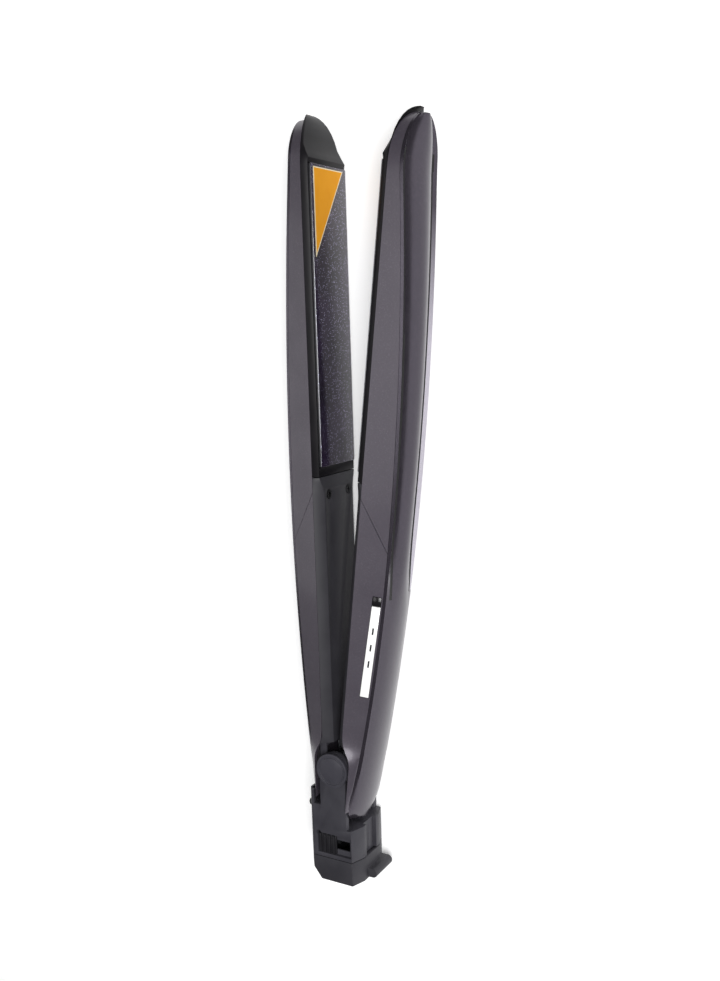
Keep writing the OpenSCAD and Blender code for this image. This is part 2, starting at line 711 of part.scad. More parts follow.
module right_barrel_shell() { color("#4a454c") right_arm() arm_barrel_shell(); }
module right_handle_shell() {
    color("#4d484f") right_arm() difference() {
        arm_handle_shell(moving_shell_rear);
        strip_block(window_s0 - seat, window_s1 + button_len + 4 * seat,
                    window_w + 2 * seat, -4, 2);
    }
}
module right_outer_cover() { color("#3c383f") right_arm() arm_outer_cover(moving_cover_rear, moving_tail); }
module right_plate_frame() { color("#1d191b") right_arm() arm_plate_frame(); }
module right_handle_liner() { color("#2b2b2b") right_arm() arm_handle_liner(); }
module right_heater_plate() { color("#28223a") right_arm() arm_heater_plate(); }
module right_heater_carrier() { color("#c9c2b0") right_arm() arm_heater_carrier(); }
module right_heater_element() { color("#e8e4dc") right_arm() arm_heater_element(); }
module right_plate_bumpers() { color("#b9562f") right_arm() arm_plate_bumpers(); }
module right_liner_screws() { color("#17171a") right_arm() arm_liner_screws(); }
module right_hinge_arm() { color("#6d7075") right_arm() moving_knuckle(); }
module right_arm_screws() { color("#8d9094") right_arm() arm_screws(); }

module display_window() {
    color("#f2f2f0") right_arm() strip_block(window_s0, window_s1, window_w,
        -strip_sink - window_t, -0.15);
}
module display_marks() {
    color("#2a2a2e") right_arm() for (i = [0:2])
        strip_block(window_s0 + 11 + 6 * i, window_s0 + 13.4 + 6 * i, 0.6, -0.15, -0.05);
}
module power_button() {
    color("#1c171c") right_arm() strip_block(window_s1 + 2 * seat, window_s1 + 2 * seat + button_len,
        window_w, -strip_sink - window_t, 0.1);
}
module control_board() {
    color("#2f6b45") right_arm() on_strip(strip_mid_s)
        translate([-board_size[0] / 2, -board_size[1] / 4, -wall - 2 * slide_gap - board_size[2]])
            cube(board_size);
}

module base_shell_near() { color("#39383b") in_base() base_near_shape(); }
module base_shell_far() { color("#39383b") in_base() base_far_shape(); }
module base_screws() { color("#8d9094") in_base() base_screw_shape(); }
module hinge_pin() {
    color("#a9acb0") stand() translate([0, 0, -plate_top + 0.1])
        cylinder(h = 2 * plate_top - 0.2, r = pin_r, $fn = fine);
}
module cap_shape() {
    difference() {
        cylinder(h = cap_t - seat, r = cap_d / 2, $fn = fine);
        translate([0, 0, cap_t - seat - 0.3]) difference() {
            cylinder(h = 1, r = cap_d / 2 - 0.9, $fn = fine);
            translate([0, 0, -1]) cylinder(h = 3, r = cap_d / 2 - 1.5, $fn = fine);
        }
    }
}
module hinge_cap_near() { color("#39383c") in_base() translate([0, 0, plate_top + seat]) cap_shape(); }
module hinge_cap_far() {
    color("#39383c") in_base() mirror([0, 0, 1]) translate([0, 0, plate_top + seat]) cap_shape();
}
module hinge_washers() {
    color("#d8d8d4") stand() for (z = [-plate_low + seat, plate_low - washer_t - seat])
        z_ring(knuckle_d / 2 - 1, bore_r, z, z + washer_t);
}
module torsion_spring() { color("#9a9da1") in_base() tube(spring_path, wire_d / 2, spring_sides); }
module end_cap() { color("#333236") in_base() end_cap_shape(); }
module lock_slider() { color("#2b2a2d") in_base() lock_pad(); }
module lock_bolt() { color("#6d7075") in_base() lock_bolt_shape(); }
module cord_swivel() { color("#1b1b1d") in_base() swivel_shape(); }
module swivel_ring() { color("#8d9094") in_base() swivel_ring_shape(); }
module back_stud() {
    color("#232226") in_base() translate([-socket_end - 1.4, base_back + seat, base_z - 3.8])
        difference() {
            sphere(r = 1.6);
            translate([-2, -4, -2]) cube(4);
        }
}

left_barrel_shell();
left_handle_shell();
left_outer_cover();
left_plate_frame();
left_handle_liner();
left_heater_plate();
left_heater_carrier();
left_heater_element();
left_plate_bumpers();
left_liner_screws();
left_plate_label();
right_barrel_shell();
right_handle_shell();
right_outer_cover();
right_plate_frame();
right_handle_liner();
right_heater_plate();
right_heater_carrier();
right_heater_element();
right_plate_bumpers();
right_liner_screws();
right_hinge_arm();
right_arm_screws();
control_board();
display_window();
display_marks();
power_button();
base_shell_near();
base_shell_far();
hinge_pin();
hinge_cap_near();
hinge_cap_far();
hinge_washers();
torsion_spring();
left_arm_screws();
end_cap();
base_screws();
lock_slider();
lock_bolt();
cord_swivel();
swivel_ring();
back_stud();
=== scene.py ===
"""Slim flat iron, held open and lying on its side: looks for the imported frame."""
import math
import bmesh
import bpy
from mathutils import Matrix, Vector


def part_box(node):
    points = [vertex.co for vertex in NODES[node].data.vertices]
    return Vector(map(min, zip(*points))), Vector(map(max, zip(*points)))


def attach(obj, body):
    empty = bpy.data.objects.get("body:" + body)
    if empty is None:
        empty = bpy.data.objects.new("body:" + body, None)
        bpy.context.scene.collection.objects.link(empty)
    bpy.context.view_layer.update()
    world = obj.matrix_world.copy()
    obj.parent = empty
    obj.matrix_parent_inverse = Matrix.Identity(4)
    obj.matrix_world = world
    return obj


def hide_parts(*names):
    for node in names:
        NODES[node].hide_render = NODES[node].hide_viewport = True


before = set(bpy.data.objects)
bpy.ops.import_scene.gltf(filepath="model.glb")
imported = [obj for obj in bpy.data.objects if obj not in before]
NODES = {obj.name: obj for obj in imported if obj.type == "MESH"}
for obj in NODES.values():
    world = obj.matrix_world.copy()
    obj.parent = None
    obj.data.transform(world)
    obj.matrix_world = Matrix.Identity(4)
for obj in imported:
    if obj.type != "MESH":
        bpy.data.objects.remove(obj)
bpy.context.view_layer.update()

bl_info = {
    "name": "Slim Flat Iron",
    "version": (1, 0, 0),
    "blender": (4, 5, 0),
    "location": "View3D > Sidebar > Flat Iron",
    "description": "Finishes the shells, plates, hinge and base of a slim flat iron",
    "category": "Object",
}

MM = 0.001
# The iron's half width, from the resting plane to the middle of its arms.
MIDDLE_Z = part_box("hinge_cap_near")[1][2] / 2
# Each arm stands this far from the middle of the open iron.
HALF_ANGLE = math.radians(3.55)

# The camera's yaw, pitch and roll in degrees, and its aim and distance in millimetres.
CAMERA_ANGLES = (29.599, 10.778, -1.309)
CAMERA_TARGET = (99.445, -1.863, 12.75)
CAMERA_DISTANCE = 357.39

# The far strip's painted highlight fades into the cover colour between these distances from the hinge axis,
# in millimetres.
HIGHLIGHT_FADE_START = 150
HIGHLIGHT_FADE_END = 195

# A cover's edge, measured along the arm from the hinge axis and across it from the arm's
# middle, in millimetres: its waist, the plate's far end and the nose.
WAIST_S = 50
PLATE_END_S = 208.2
NOSE_S = 207
NOSE_LENGTH = 17
WAIST_EDGE = 9.1
TIP_EDGE = 12.2
STRIP_WIDTH = 2.6
# Where a groove's painted shadow, and the far strip's painted highlight, begin and end along the arm.
GROOVE_START = 66
GROOVE_END = 212
# A groove's painted shadow reaches this many half widths outwards from its bottom.
SHADOW_REACH = 2.4
# A cover's face with more than this of its normal along Z is its side wall.
SIDE_FACING = 0.7
# A plate's face with less than this of its normal along Y is its edge.
EDGE_FACING = 0.6

# Shells shade smooth up to the first of these angles, and bevelled pieces up to the
# second, in degrees.
SHELL_SMOOTH = 42
BEVEL_SMOOTH = 35
# The point that the lights are turned to, in metres.
LIGHT_AIM = (0.10, 0.0, 0.01)
WORLD_LIGHT = 0.10


# --- Node materials

def linear(hex_colour):
    """sRGB hex to the linear RGBA that a shader socket takes."""
    parts = [int(hex_colour[i:i + 2], 16) / 255 for i in (1, 3, 5)]
    return tuple(p / 12.92 if p <= 0.04045 else ((p + 0.055) / 1.055) ** 2.4 for p in parts) + (1.0,)


def add(tree, kind, settings=None, links=None):
    """Adds a node, sets its properties and sockets, and links its inputs.

    A colour ramp's stops are given as (position, sRGB hex)."""
    item = tree.nodes.new(kind)
    for key, value in (settings or {}).items():
        if key == "stops":
            elements = item.color_ramp.elements
            while len(elements) < len(value):
                elements.new(0.5)
            for element, (position, colour) in zip(elements, value):
                element.position = position
                element.color = linear(colour)
        elif isinstance(key, str) and hasattr(item, key):
            setattr(item, key, value)
        else:
            item.inputs[key].default_value = value
    for key, source in (links or {}).items():
        tree.links.new(source, item.inputs[key])
    return item


def new_material(name):
    """An empty node tree with its output, and the object's own coordinates."""
    material = bpy.data.materials.new(name)
    material.use_nodes = True
    tree = material.node_tree
    tree.nodes.clear()
    place = add(tree, "ShaderNodeTexCoord")
    out = add(tree, "ShaderNodeOutputMaterial")
    return material, tree, place.outputs["Object"], out


def lacquered_shell(name, base, deep, flake, rough, coat, metallic=0.3, faded_highlight_tint=None):
    """Metallic lacquer sprayed on moulded ABS: a dark pearl base under clear coat.

    The flakes give a faint sparkle, the clear coat a clean highlight, and a slow
    orange peel of about 1 mm keeps long reflections from being ruler straight."""
    material, tree, place, out = new_material(name)
    # Pearl flakes are 0.02 to 0.05 mm; drawn at 0.25 mm so that they show at all.
    flakes = add(tree, "ShaderNodeTexVoronoi", {"Scale": 1 / (0.25 * MM), "feature": "F1"},
                 {"Vector": place})
    pearl = add(tree, "ShaderNodeValToRGB", {"stops": [(0.0, deep), (0.72, base), (1.0, flake)]},
                {"Fac": flakes.outputs["Color"]})
    tint = pearl.outputs["Color"]
    if faded_highlight_tint:
        # Painted highlight: towards the tip the bright strip fades into this colour, as its reflection
        # fades.
        along = add(tree, "ShaderNodeSeparateXYZ", None, {"Vector": place})
        tip = add(tree, "ShaderNodeMapRange", {"From Min": HIGHLIGHT_FADE_START * MM, "From Max": HIGHLIGHT_FADE_END * MM},
                  {"Value": along.outputs["X"]})
        wear_tone_and_highlight_fade = add(tree, "ShaderNodeMix", {"data_type": "RGBA", "blend_type": "MIX", 7: linear(faded_highlight_tint)},
                   {"Factor": tip.outputs["Result"], 6: tint})
        tint = wear_tone_and_highlight_fade.outputs[2]
    # Handling marks and uneven spray, in patches of about 12 mm.
    cloud = add(tree, "ShaderNodeTexNoise", {"Scale": 1 / (12 * MM), "Detail": 4.0}, {"Vector": place})
    smudge = add(tree, "ShaderNodeMapRange",
                 {"From Min": 0.3, "From Max": 0.7, "To Min": rough - 0.03, "To Max": rough + 0.05},
                 {"Value": cloud.outputs["Fac"]})
    peel = add(tree, "ShaderNodeTexNoise", {"Scale": 1 / (1.2 * MM), "Detail": 1.0}, {"Vector": place})
    bump = add(tree, "ShaderNodeBump", {"Strength": 0.025, "Distance": 0.02 * MM},
               {"Height": peel.outputs["Fac"]})
    shader = add(tree, "ShaderNodeBsdfPrincipled",
                 {"Metallic": metallic, "Coat Weight": coat, "Coat Roughness": 0.09},
                 {"Base Color": tint, "Roughness": smudge.outputs["Result"],
                  "Normal": bump.outputs["Normal"]})
    tree.links.new(shader.outputs[0], out.inputs[0])
    return material


def moulded_plastic(name, base, wear_tone_and_highlight_fade, rough, grain_mm, depth, ior=1.46):
    """Injection-moulded ABS or nylon with a spark-eroded grain.

    The grain breaks the highlight into a soft satin, and the colour drifts a little
    where hands have polished it."""
    material, tree, place, out = new_material(name)
    cloud = add(tree, "ShaderNodeTexNoise", {"Scale": 1 / (9 * MM), "Detail": 5.0}, {"Vector": place})
    tint = add(tree, "ShaderNodeValToRGB", {"stops": [(0.3, base), (0.75, wear_tone_and_highlight_fade)]},
               {"Fac": cloud.outputs["Fac"]})
    grain = add(tree, "ShaderNodeTexNoise", {"Scale": 1 / (grain_mm * MM), "Detail": 2.0},
                {"Vector": place})
    bump = add(tree, "ShaderNodeBump", {"Strength": depth, "Distance": 0.03 * MM},
               {"Height": grain.outputs["Fac"]})
    polish = add(tree, "ShaderNodeMapRange",
                 {"From Min": 0.3, "From Max": 0.7, "To Min": rough - 0.04, "To Max": rough + 0.05},
                 {"Value": cloud.outputs["Fac"]})
    shader = add(tree, "ShaderNodeBsdfPrincipled", {"IOR": ior},
                 {"Base Color": tint.outputs["Color"], "Roughness": polish.outputs["Result"],
                  "Normal": bump.outputs["Normal"]})
    tree.links.new(shader.outputs[0], out.inputs[0])
    return material


def turned_metal(name, base, bright, rough, stretch):
    """Drawn, stamped, milled or turned metal with a fine satin grain.

    A stretch along one axis draws the grain out into tool lines across that axis."""
    material, tree, place, out = new_material(name)
    lines = add(tree, "ShaderNodeMapping", {"Scale": stretch}, {"Vector": place})
    # The grain is 0.4 mm across, and a stretch of 6 brings its lines to 0.07 mm.
    marks = add(tree, "ShaderNodeTexNoise", {"Scale": 1 / (0.4 * MM), "Detail": 3.0},
                {"Vector": lines.outputs[0]})
    tint = add(tree, "ShaderNodeValToRGB", {"stops": [(0.3, base), (0.8, bright)]},
               {"Fac": marks.outputs["Fac"]})
    bump = add(tree, "ShaderNodeBump", {"Strength": 0.12, "Distance": 0.01 * MM},
               {"Height": marks.outputs["Fac"]})
    shader = add(tree, "ShaderNodeBsdfPrincipled", {"Metallic": 1.0, "Roughness": rough},
                 {"Base Color": tint.outputs["Color"], "Normal": bump.outputs["Normal"]})
    tree.links.new(shader.outputs[0], out.inputs[0])
    return material


def glitter_ceramic(name, base, deep, spark):
    """Titanium-ceramic coating sprayed on an aluminium heater plate.

    A dark purple glaze with mineral glitter: single bright specks over a soft gloss."""
    material, tree, place, out = new_material(name)
    cloud = add(tree, "ShaderNodeTexNoise", {"Scale": 1 / (14 * MM), "Detail": 4.0}, {"Vector": place})
    glaze = add(tree, "ShaderNodeValToRGB", {"stops": [(0.3, deep), (0.8, base)]},
                {"Fac": cloud.outputs["Fac"]})
    # Glitter grains are 0.1 to 0.3 mm, drawn as the brightest of 0.42 mm cells.
    turned = add(tree, "ShaderNodeMapping", {"Rotation": (0.7, 0.4, 1.1)}, {"Vector": place})
    cells = add(tree, "ShaderNodeTexVoronoi", {"Scale": 1 / (0.42 * MM), "feature": "F1"},
                {"Vector": turned.outputs[0]})
    size = add(tree, "ShaderNodeMath", {"operation": "LESS_THAN", 1: 0.36}, {0: cells.outputs["Distance"]})
    grey = add(tree, "ShaderNodeRGBToBW", None, {"Color": cells.outputs["Color"]})
    rare = add(tree, "ShaderNodeMath", {"operation": "GREATER_THAN", 1: 0.66}, {0: grey.outputs[0]})
    speck = add(tree, "ShaderNodeMath", {"operation": "MULTIPLY"}, {0: size.outputs[0], 1: rare.outputs[0]})
    soft = add(tree, "ShaderNodeMath", {"operation": "MULTIPLY", 1: 0.75}, {0: speck.outputs[0]})
    mixed = add(tree, "ShaderNodeMix", {"data_type": "RGBA", "blend_type": "MIX", 7: linear(spark)},
                {"Factor": soft.outputs[0], 6: glaze.outputs["Color"]})
    shader = add(tree, "ShaderNodeBsdfPrincipled", {"Roughness": 0.14, "IOR": 1.5},
                 {"Base Color": mixed.outputs[2], "Metallic": soft.outputs[0]})
    tree.links.new(shader.outputs[0], out.inputs[0])
    return material


def plain_finish(name, base, wear_tone_and_highlight_fade, rough, grain_mm, metallic=0.0, coat=0.0, glow=0.0, ior=1.5):
    """Small parts: rubber, nylon, fired ceramic, film and polycarbonate.

    A slow drift of colour and a shallow grain, so that no face is dead flat."""
    material, tree, place, out = new_material(name)
    cloud = add(tree, "ShaderNodeTexNoise", {"Scale": 1 / (grain_mm * MM), "Detail": 3.0},
                {"Vector": place})
    tint = add(tree, "ShaderNodeValToRGB", {"stops": [(0.3, base), (0.75, wear_tone_and_highlight_fade)]},
               {"Fac": cloud.outputs["Fac"]})
    bump = add(tree, "ShaderNodeBump", {"Strength": 0.1, "Distance": 0.02 * MM},
               {"Height": cloud.outputs["Fac"]})
    shader = add(tree, "ShaderNodeBsdfPrincipled",
                 {"Roughness": rough, "Metallic": metallic, "Coat Weight": coat, "IOR": ior,
                  "Emission Strength": glow},
                 {"Base Color": tint.outputs["Color"], "Normal": bump.outputs["Normal"]})
    if glow:
        shader.inputs["Emission Color"].default_value = linear(wear_tone_and_highlight_fade)
    tree.links.new(shader.outputs[0], out.inputs[0])
    return material


# --- Modelling helpers

def only(obj):
    """Selects one object and makes it active, in object mode."""
    if bpy.context.object and bpy.context.object.mode != "OBJECT":
        bpy.ops.object.mode_set(mode="OBJECT")
    bpy.ops.object.select_all(action="DESELECT")
    obj.hide_set(False)
    obj.select_set(True)
    bpy.context.view_layer.objects.active = obj


def copy_of(node, name):
    """A merged copy of a CAD node's mesh, with its flat faces joined again."""
    mesh = NODES[node].data.copy()
    mesh.materials.clear()
    obj = bpy.data.objects.new(name, mesh)
    bpy.context.scene.collection.objects.link(obj)
    only(obj)
    bpy.ops.object.mode_set(mode="EDIT")
    bpy.ops.mesh.select_all(action="SELECT")
    bpy.ops.mesh.remove_doubles(threshold=1e-6)
    bpy.ops.mesh.customdata_custom_splitnormals_clear()
    bpy.ops.mesh.tris_convert_to_quads(face_threshold=math.radians(50), shape_threshold=math.radians(60))
    bpy.ops.object.mode_set(mode="OBJECT")
    return obj


def dissolved(obj, angle=1.0):
    """Joins coplanar faces into single ones."""
    only(obj)
    bpy.ops.object.mode_set(mode="EDIT")
    bpy.ops.mesh.select_all(action="SELECT")
    bpy.ops.mesh.dissolve_limited(angle_limit=math.radians(angle))
    bpy.ops.object.mode_set(mode="OBJECT")


def crease_sharp(obj, angle):
    """Fully creases edges sharper than an angle, so that subdivision keeps them."""
    mesh = bmesh.new()
    mesh.from_mesh(obj.data)
    layer = mesh.edges.layers.float.get("crease_edge") or mesh.edges.layers.float.new("crease_edge")
    for edge in mesh.edges:
        if len(edge.link_faces) != 2 or edge.calc_face_angle(0) > math.radians(angle):
            edge[layer] = 1.0
    mesh.to_mesh(obj.data)
    mesh.free()


def modifier(obj, kind, **settings):
    """Adds a modifier, sets it and applies it."""
    only(obj)
    item = obj.modifiers.new(kind.title(), kind)
    for key, value in settings.items():
        setattr(item, key, value)
    bpy.ops.object.modifier_apply(modifier=item.name)


def soften(obj, angle):
    """Shades a piece smooth, except at edges sharper than an angle."""
    only(obj)
    bpy.ops.object.shade_smooth_by_angle(angle=math.radians(angle))


def finish_piece(obj, material, body, node):
    """Gives a piece its finish and its body, and hides the CAD node that it stands for."""
    obj.data.materials.clear()
    obj.data.materials.append(material)
    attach(obj, body)
    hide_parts(node)


def along_arm(point, side):
    """A point as (distance from the hinge axis, distance from the arm's middle), in
    millimetres."""
    turn = HALF_ANGLE if side == "left" else -HALF_ANGLE
    x = point[0] * math.cos(turn) + point[1] * math.sin(turn)
    return x / MM, (point[2] - MIDDLE_Z) / MM


def groove_z(s):
    """Distance of a cover's groove from the arm's middle, in millimetres. The cover widens
    from its waist to the plate's far end, and draws in round the nose."""
    run = max(0, min(s, NOSE_S) - WAIST_S) / (PLATE_END_S - WAIST_S)
    straight = WAIST_EDGE + (TIP_EDGE - WAIST_EDGE) * run ** 1.7 - STRIP_WIDTH
    turned = max(0, (s - NOSE_S) / NOSE_LENGTH)
    return straight * max(0.2, 1 - turned ** 2) ** 0.5


def shade_and_highlight_grooves(obj, side, material, bright, half_width):
    """Paints shade along the bottom and outer wall of both grooves, and a highlight on the strip outside
    the far one."""
    obj.data.materials.append(material)
    obj.data.materials.append(bright)
    for face in obj.data.polygons:
        s, z = along_arm(face.center, side)
        outward = face.normal.y if side == "left" else -face.normal.y
        past = abs(z) - groove_z(s)
        faces_out = outward > 0 and abs(face.normal.z) < SIDE_FACING
        if GROOVE_START < s < GROOVE_END and faces_out and past > -half_width:
            # Painted shadow, from the groove's bottom out over its outer wall.
            if past < SHADOW_REACH * half_width:
                face.material_index = 1
            # Painted highlight, on the far strip only.
            elif z < 0:
                face.material_index = 2


def smooth_shell(node, name, crease, levels, material, body):
    """A shell as a smooth subdivided surface that keeps its sharp edges."""
    obj = copy_of(node, name)
    crease_sharp(obj, crease)
    modifier(obj, "SUBSURF", levels=levels, render_levels=levels, boundary_smooth="PRESERVE_CORNERS")
    soften(obj, SHELL_SMOOTH)
    finish_piece(obj, material, body, node)
    return obj


def bevelled(node, name, width, material, body, angle=30, segments=2):
    """A moulded or cut piece with its flat faces joined and its edges broken."""
    obj = copy_of(node, name)
    dissolved(obj)
    modifier(obj, "BEVEL", width=width * MM, segments=segments, limit_method="ANGLE",
             angle_limit=math.radians(angle), use_clamp_overlap=True)
    soften(obj, BEVEL_SMOOTH)
    finish_piece(obj, material, body, node)
    return obj


def dress(names, material):
    """A CAD node whose shape is right gets its finish."""
    for name in names:
        data = NODES[name].data
        data.materials.clear()
        data.materials.append(material)
        for polygon in data.polygons:
            polygon.material_index = 0


# --- Sizes and colours that a user may change

class ShellLook(bpy.types.PropertyGroup):
    shell: bpy.props.StringProperty(
        name="Shell colour", default="#4d4851",
        description="Lacquer on the shells, as sRGB hex")
    cover: bpy.props.StringProperty(
        name="Cover colour", default="#48434c",
        description="Lacquer on the outer covers, as sRGB hex")
    # Half width of the painted shadow in the grooves, in millimetres.
    groove_shade_width: bpy.props.FloatProperty(
        name="Groove line", default=0.42, min=0.1, max=1,
        description="Half width of the dark line in the grooves, in millimetres")
    levels: bpy.props.IntProperty(
        name="Smoothness", default=2, min=1, max=3,
        description="Subdivision of the shells")


class PlateLook(bpy.types.PropertyGroup):
    glaze: bpy.props.StringProperty(
        name="Plate colour", default="#33283f",
        description="Ceramic coating, as sRGB hex")
    label: bpy.props.StringProperty(
        name="Label colour", default="#e89a14",
        description="Printed film on the plate, as sRGB hex")
    label_border: bpy.props.FloatProperty(
        name="Label border", default=0.35 * MM, min=0.1 * MM, max=1 * MM, unit="LENGTH",
        description="Plain edge of the label")


class BaseLook(bpy.types.PropertyGroup):
    plastic: bpy.props.StringProperty(
        name="Base colour", default="#36353b",
        description="Moulded base, as sRGB hex")
    break_edge: bpy.props.FloatProperty(
        name="Edge rounding", default=0.3, min=0.05, max=0.6,
        description="Rounding of the base's edges, in millimetres")


class StageLook(bpy.types.PropertyGroup):
    floor: bpy.props.StringProperty(
        name="Floor colour", default="#ffffff",
        description="Plain floor, as sRGB hex")
    lens: bpy.props.FloatProperty(
        name="Focal length", default=37.93, min=20, max=120,
        description="Camera focal length in millimetres")


# --- Operators

class IRON_OT_shells(bpy.types.Operator):
    """Make the barrel and handle shells and the outer covers"""
    bl_idname = "iron.shells"
    bl_label = "Shells and covers"

    def execute(self, context):
        look = context.scene.iron_shells
        shell = lacquered_shell("Pearl Lacquer On ABS", look.shell, "#4a444e", "#5a545e",
                                rough=0.36, coat=0.15)
        cover = lacquered_shell("High Gloss Pearl Lacquer On ABS", look.cover, "#403c45", "#554f5a",
                                rough=0.22, coat=0.1, metallic=0.75)
        # Painted highlight: a bright metallic lacquer on the strip outside the far groove, standing in for
        # the reflection there.
        strip = lacquered_shell("Bright Pearl Lacquer On Strip", "#bab6c0", "#aeaab4", "#c6c2cc",
                                rough=0.22, coat=0.1, metallic=0.9, faded_highlight_tint=look.cover)
        # Painted shadow: a near black, matt lacquer laid in the grooves where their shade falls.
        shadow = lacquered_shell("Thin Pearl Lacquer In Groove", "#070608", "#040305", "#0d0c0f",
                                 rough=0.6, coat=0.0, metallic=0.0)
        for side, body in (("left", "fixed_arm"), ("right", "moving_arm")):
            for part in ("barrel_shell", "handle_shell"):
                node = f"{side}_{part}"
                smooth_shell(node, f"{node}_skin", 24, look.levels, shell, body)
            node = f"{side}_outer_cover"
            skin = smooth_shell(node, f"{node}_skin", 30, look.levels + 1, cover, body)
            shade_and_highlight_grooves(skin, side, shadow, strip, look.groove_shade_width)
        return {"FINISHED"}


class IRON_OT_trims(bpy.types.Operator):
    """Make the bevelled plate frames and handle liners with their screws"""
    bl_idname = "iron.trims"
    bl_label = "Frames and liners"

    def execute(self, context):
        resin = moulded_plastic("Satin Heat Proof PPS", "#111013", "#19171b",
                                rough=0.4, grain_mm=0.4, depth=0.08, ior=1.25)
        satin = moulded_plastic("Satin Moulded ABS", "#2e2d32", "#37363b",
                                rough=0.5, grain_mm=0.25, depth=0.25, ior=1.38)
        oxide = turned_metal("Black Oxide Screw Steel", "#131315", "#2a2a2d",
                             rough=0.35, stretch=(1, 1, 1))
        for side, body in (("left", "fixed_arm"), ("right", "moving_arm")):
            rim = f"{side}_plate_frame"
            liner = f"{side}_handle_liner"
            screws = f"{side}_liner_screws"
            bevelled(rim, f"{rim}_skin", 0.12, resin, body)
            bevelled(liner, f"{liner}_skin", 0.12, satin, body)
            bevelled(screws, f"{screws}_skin", 0.06, oxide, body, angle=40)
        return {"FINISHED"}


class IRON_OT_plates(bpy.types.Operator):
    """Make the coated heater plates and what carries them"""
    bl_idname = "iron.plates"
    bl_label = "Heater plates"

    def execute(self, context):
        look = context.scene.iron_plates
        glaze = glitter_ceramic("Glitter Ceramic On Aluminium", look.glaze, "#19131f", "#b9b4d2")
        bare = turned_metal("Milled Aluminium Edge", "#8d8e92", "#a9aaae", rough=0.28, stretch=(1, 1, 1))
        for side in ("left", "right"):
            node = f"{side}_heater_plate"
            body = f"{side}_heater"
            plate = bevelled(node, f"{node}_skin", 0.3, glaze, body, segments=3)
            # The coating stops at the plate's edge, where the milled metal shows.
            plate.data.materials.append(bare)
            for face in plate.data.polygons:
                if abs(face.normal.y) < EDGE_FACING:
                    face.material_index = 1
        resin = plain_finish("Heat Proof Carrier Resin", "#b9b29f", "#cdc6b4", rough=0.5, grain_mm=3)
        fired = plain_finish("White Fired Ceramic", "#e2ded5", "#efece5", rough=0.3, grain_mm=2)
        rubber = plain_finish("Silicone Rubber", "#a94c27", "#bd5c34", rough=0.6, grain_mm=1.5)
        dress(["left_heater_carrier", "right_heater_carrier"], resin)
        dress(["left_heater_element", "right_heater_element"], fired)
        dress(["left_plate_bumpers", "right_plate_bumpers"], rubber)
        return {"FINISHED"}


class IRON_OT_label(bpy.types.Operator):
    """Make the plain triangular film label on the fixed plate"""
    bl_idname = "iron.label"
    bl_label = "Plate label"

    def execute(self, context):
        look = context.scene.iron_plates
        film = plain_finish("Cream Border Film", "#e9d9ab", "#f4e8c6", rough=0.35, grain_mm=4)
        ink = plain_finish("Orange Printed Film", look.label, "#eea41c", rough=0.6, grain_mm=6, ior=1.25)
        obj = copy_of("left_plate_label", "left_plate_label_film")
        dissolved(obj)
        obj.data.materials.append(film)
        obj.data.materials.append(ink)
        only(obj)
        bpy.ops.object.mode_set(mode="EDIT")
        bpy.ops.mesh.select_mode(type="FACE")
        mesh = bmesh.from_edit_mesh(obj.data)
        # The printed side faces the other arm, towards -Y.
        front = min(mesh.faces, key=lambda f: f.normal.y)
        for face in mesh.faces:
            face.select_set(face == front)
        bmesh.update_edit_mesh(obj.data)
        bpy.ops.mesh.inset(thickness=look.label_border, depth=0)
        mesh = bmesh.from_edit_mesh(obj.data)
        for face in mesh.faces:
            if face.select:
                face.material_index = 1
        bmesh.update_edit_mesh(obj.data)
        bpy.ops.object.mode_set(mode="OBJECT")
        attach(obj, "left_heater")
        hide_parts("left_plate_label")
        return {"FINISHED"}


class IRON_OT_hinge(bpy.types.Operator):
    """Make the hinge caps, pin, spring and the arm on the pin"""
    bl_idname = "iron.hinge"
    bl_label = "Hinge"

    def execute(self, context):
        cap = moulded_plastic("Polished Moulded ABS Cap", "#3b3a41", "#47464d",
                              rough=0.3, grain_mm=0.3, depth=0.1)
        steel = turned_metal("Turned Pin Steel", "#8f9296", "#b5b8bc", rough=0.3, stretch=(1, 1, 6))
        stamped = turned_metal("Stamped Hinge Steel", "#5f6267", "#7c7f84", rough=0.42, stretch=(6, 1, 1))
        wire = turned_metal("Drawn Spring Wire", "#85888c", "#a8abaf", rough=0.3, stretch=(1, 1, 1))
        nylon = plain_finish("Natural Nylon", "#cfcfc9", "#dededa", rough=0.45, grain_mm=2)
        zinc = turned_metal("Zinc Plated Screw Steel", "#7c7f83", "#a3a6aa",
                            rough=0.32, stretch=(1, 1, 1))
        for end in ("near", "far"):
            node = f"hinge_cap_{end}"
            bevelled(node, f"{node}_skin", 0.1, cap, "fixed_arm", angle=40)
        dress(["hinge_pin"], steel)
        dress(["right_hinge_arm"], stamped)
        dress(["torsion_spring"], wire)
        dress(["hinge_washers"], nylon)
        dress(["left_arm_screws", "right_arm_screws", "base_screws"], zinc)
        return {"FINISHED"}


